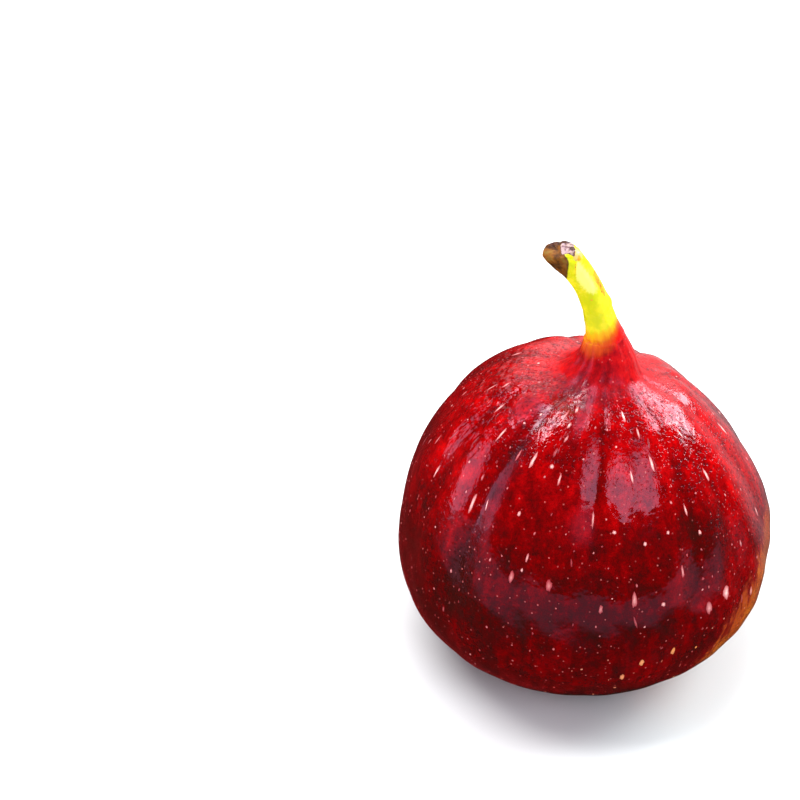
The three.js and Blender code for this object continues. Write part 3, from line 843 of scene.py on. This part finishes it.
def stalk_dome(rim, theta, forward):
    """Rings that close the stalk's end: a dried, rounded callus, with a thicker lobe on the side that the
    stalk bends to and a ragged one at the back."""
    middle = rim.mean(0)
    teeth = 1 + 0.5 * np.sin(RAGGED["teeth"] * theta)
    ragged = 2 * RAGGED["size"] * facing(theta, RAGGED["angle"], RAGGED["width"]) * teeth
    lobe = (LOBE * smooth(0.3, -0.7, np.cos(theta)) + ragged)[:, None]
    rings = []
    for lift in np.linspace(0, math.pi / 2, DOME_ROWS + 1)[1:]:
        inwards, upwards = math.cos(lift), math.sin(lift)
        rings.append(middle + (rim - middle) * inwards + forward * (END_DOME + lobe * inwards) * upwards)
    return rings


def stalk_attributes(points, theta, share):
    """Where the stalk has its own colours, painted shade on its back and a painted highlight on its front,
    from 0 to about 1, mostly by a point's place in mm.
    """
    x, y, z = points.T

    def near(place, size):
        return bell(np.linalg.norm(points - np.array(place), axis=1), 0, size)

    front = facing(theta, -75, 38)
    far_rim = smooth(0.6, 1.1, y) * smooth(42.2, 42.8, z)
    burnt_spot = bell(x, -3.8, 0.4) * bell(y, -0.4, 0.4) * smooth(42.3, 42.9, z)
    cut = smooth(42.4, 43.0, z) * smooth(-1.5, -0.8, y) * smooth(-5.4, -4.9, x) * smooth(-3.3, -3.8, x)
    crack = bell(x, -3.42, 0.10) * smooth(39.0, 39.8, z) * smooth(42.9, 42.3, z) * front
    right_edge = facing(theta, -22, 19) * bell(share, 0.49, 0.14)
    scuffs = [1.15 * right_edge, near(TEAR_SCUFF, 0.4), 0.75 * crack, near(SPECK, 0.1732)]
    return {
        "dry": smooth(0.5, -0.5, x + 4.40 + 0.5 * smooth(42.4, 43.4, z)),
        "torn": cut * (1 - far_rim),
        "burnt": np.maximum(smooth(0.2, 0.6, burnt_spot), far_rim),
        # pale is a painted highlight on the stalk's front.
        "pale": smooth(-3.6, -3.1, x) * smooth(37.0, 38.8, z) * smooth(43.2, 42.3, z) * front,
        "tan": near(TAN_PATCH, 0.949),
        "scuff": np.maximum.reduce(scuffs),
        # back is painted shade on the stalk's far side.
        "back": smooth(0.3, 1.5, y) * smooth(32.5, 35, z),
    }


def add_stalk(material):
    points, share, theta, radius, forward = stalk_side()
    dome = stalk_dome(points[-1], theta[-1], forward)
    vertices = np.concatenate([points.reshape(-1, 3), *dome])

    def with_dome(values):
        """The side's values, and the rim's once more for each ring of the dome."""
        return np.concatenate([values.ravel(), np.tile(values[-1], len(dome))])

    share, theta, radius = with_dome(share), with_dome(theta), with_dome(radius)
    height = NECK_HEIGHT + STALK_LENGTH * share
    attributes = stalk_attributes(vertices, theta, share)
    for key, value in (("wine", 0.05), ("rough", 0.2), ("matte", 0.6)):
        attributes[key] = np.full(len(vertices), value)
    attributes["ripe"] = ripeness(theta, height)
    attributes["flow"] = flow_of(theta, radius, height)
    faces = band_faces(STALK_ROWS + len(dome), STALK_AROUND)
    add_piece("stalk_skin", placed(vertices), faces, material, attributes, ["stalk"])


# ---------------------------------------- the eye
def eye_scale(middle, height, length, width, thickness, turn, size):
    """The points of one scale: a dished ellipsoid with its pointed end inwards, turned to its place."""
    v = np.linspace(0.02, math.pi - 0.02, SCALE_ROWS)[:, None]
    u = np.linspace(0, 2 * math.pi, SCALE_AROUND, endpoint=False)[None, :]
    x, y, z = np.cos(v) + 0 * u, np.sin(v) * np.cos(u), np.sin(v) * np.sin(u)
    tip = np.maximum(-x, 0)
    x, y, z = x * length * size, y * width * size * (1 - 0.62 * tip ** 2), z * thickness * (1 - 0.4 * tip)
    z = z + 0.10 * (x / length) ** 2 + 0.10 * (y / width) ** 2 - 0.05 + height
    x = x + middle
    cosine, sine = math.cos(turn), math.sin(turn)
    rows = np.stack([x * cosine - y * sine, x * sine + y * cosine, z], -1)
    return np.concatenate([rows.reshape(-1, 3), [rows[0].mean(0), rows[-1].mean(0)]])


def add_eye(material):
    """Scales that close the eye in three whorls that overlap, over a flat disc."""
    rng = np.random.default_rng(EYE_SEED)
    scale_faces = grid_faces(SCALE_ROWS, SCALE_AROUND)
    vertices, faces = [], []
    for number, (count, middle, height, length, width, thickness) in enumerate(EYE_WHORLS):
        for i in range(count):
            turn = (i + 0.5 * number + rng.uniform(-0.12, 0.12)) / count * 2 * math.pi
            size = rng.uniform(0.9, 1.08)
            start = len(vertices)
            vertices.extend(eye_scale(middle, height, length, width, thickness, turn, size))
            faces.extend(tuple(start + k for k in face) for face in scale_faces)
    start = len(vertices)
    vertices.extend((DISC_RADIUS * math.cos(a), DISC_RADIUS * math.sin(a), DISC_HEIGHT)
                    for a in np.linspace(0, 2 * math.pi, DISC_SIDES, endpoint=False))
    faces.append(tuple(start + k for k in reversed(range(DISC_SIDES))))
    points = np.array(vertices) - (LOWER_LEAN * EQUATOR_HEIGHT, 0, EQUATOR_HEIGHT)
    add_piece("eye_bracts", placed(points), faces, material, {}, ["eye_scales"])


# ---------------------------------------- stage, light and camera
def add_floor():
    bpy.ops.mesh.primitive_plane_add(size=6)
    floor = bpy.context.object
    floor.name = "floor"
    floor.data.materials.append(floor_material())
    floor.visible_glossy = False


def add_window(name, direction, width, height, radiance, colour=(1, 1, 1), roll=0.0, shape="RECTANGLE"):
    """An area light that shows as a window of that radiance, turned to the fig. Its size is a share of its
    distance, and roll turns it about the line to the fig."""
    width, height = width * LAMP_DISTANCE, height * LAMP_DISTANCE
    light = bpy.data.lights.new(name, "AREA")
    light.shape = shape
    light.size, light.size_y = width, height
    light.energy = radiance * math.pi * width * height
    light.color = colour
    lamp = bpy.data.objects.new(name, light)
    bpy.context.scene.collection.objects.link(lamp)
    back = Vector(direction).normalized()
    lamp.location = LAMP_TARGET + back * LAMP_DISTANCE
    lamp.rotation_euler = ((-back).to_track_quat("-Z", "Y") @ Quaternion((0, 0, 1), roll)).to_euler()


def add_lights():
    add_window("backdrop", (0.12, 0.80, 0.56), 1.36, 0.73, 1.5)
    add_window("window_right", (0.75, 0.37, 0.55), 0.57, 0.54, 13.5, (0.86, 1.0, 1.0))
    add_window("round_front_right", (0.42, -0.61, 0.67), 0.57, 0.44, 3.4, (0.88, 0.88, 1.0), shape="ELLIPSE")
    add_window("round_left", (-0.93, 0.03, 0.24), 0.66, 0.66, 2.6, (1.0, 0.70, 0.90), shape="ELLIPSE")
    add_window("softbox_top", (-0.28, 0.12, 0.95), 0.40, 0.80, 12.5, roll=0.6)


def add_world():
    """A pale surround for the camera and a dim one for the light that falls on the fruit. In the skin's
    reflections it is bright behind, which gives the shoulders their sheen, has a band low in front and a
    faint red card on the left for the neighbouring figs, and is dark elsewhere, as between flags."""
    world = bpy.data.worlds.new("studio")
    bpy.context.scene.world = world
    s = Nodes(world)
    background = s.nodes["Background"]
    path, coordinates = s.nodes.new("ShaderNodeLightPath"), s.nodes.new("ShaderNodeTexCoord")
    split = s.nodes.new("ShaderNodeSeparateXYZ")
    s.put(split.inputs[0], coordinates.outputs["Generated"])
    x, y, z = split.outputs

    behind = s.math("MULTIPLY", s.remap(y, 0.15, 0.65), s.remap(x, -0.45, 0.2, 0.0, 0.7))
    deeper_right = s.math("ADD", z, s.remap(x, 0.0, 0.25, 0.0, 0.4))
    behind = s.math("MULTIPLY", behind, s.remap(deeper_right, -0.35, 0.2))
    band = s.math("MULTIPLY", s.remap(y, 0.2, -0.3), s.remap(z, 0.03, -0.02))
    band = s.math("MULTIPLY", band, s.remap(z, -0.40, -0.22, 0.0, 0.7))
    card = s.math("MULTIPLY", s.remap(x, 0.05, -0.1, 0.0, 0.2), s.remap(y, -0.1, 0.5))
    card = s.math("MULTIPLY", card, s.remap(z, 0.3, -0.1))
    sheen = s.mix(s.remap(x, 0.1, 0.6), (0.95, 0.97, 1.0), (1.0, 0.72, 0.80))
    reflected = s.mix(behind, (0.01, 0.01, 0.01), sheen)
    reflected = s.mix(band, reflected, (1.0, 0.66, 0.88), "ADD")
    reflected = s.mix(card, reflected, (1.0, 0.02, 0.03), "ADD")

    glossy = path.outputs["Is Glossy Ray"]
    plain = s.remap(path.outputs["Is Camera Ray"], 0.0, 1.0, 0.65, 0.9)
    s.put(background.inputs["Color"], s.mix(glossy, (0.95, 0.97, 1.0), reflected))
    s.put(background.inputs["Strength"], s.math("MAXIMUM", plain, glossy))


def add_camera():
    """The photograph's view, with the fig right of and below the middle."""
    camera = bpy.data.cameras.new("camera")
    camera.lens, camera.sensor_width = LENS, SENSOR
    camera.clip_start = 0.01
    body = bpy.data.objects.new("camera", camera)
    bpy.context.scene.collection.objects.link(body)
    body.location = placed(np.array(CAMERA_PLACE) - (0, 0, EQUATOR_HEIGHT))
    body.rotation_euler = (math.radians(90 - CAMERA_ANGLE), 0, 0)
    bpy.context.scene.camera = body


add_camera()
add_floor()
add_lights()
add_world()
bpy.context.scene.view_settings.view_transform = "Standard"
add_fruit(skin_material("fig_skin"))
add_flecks(fleck_material())
add_stalk(skin_material("stalk_skin", has_end=True))
add_eye(scale_material())
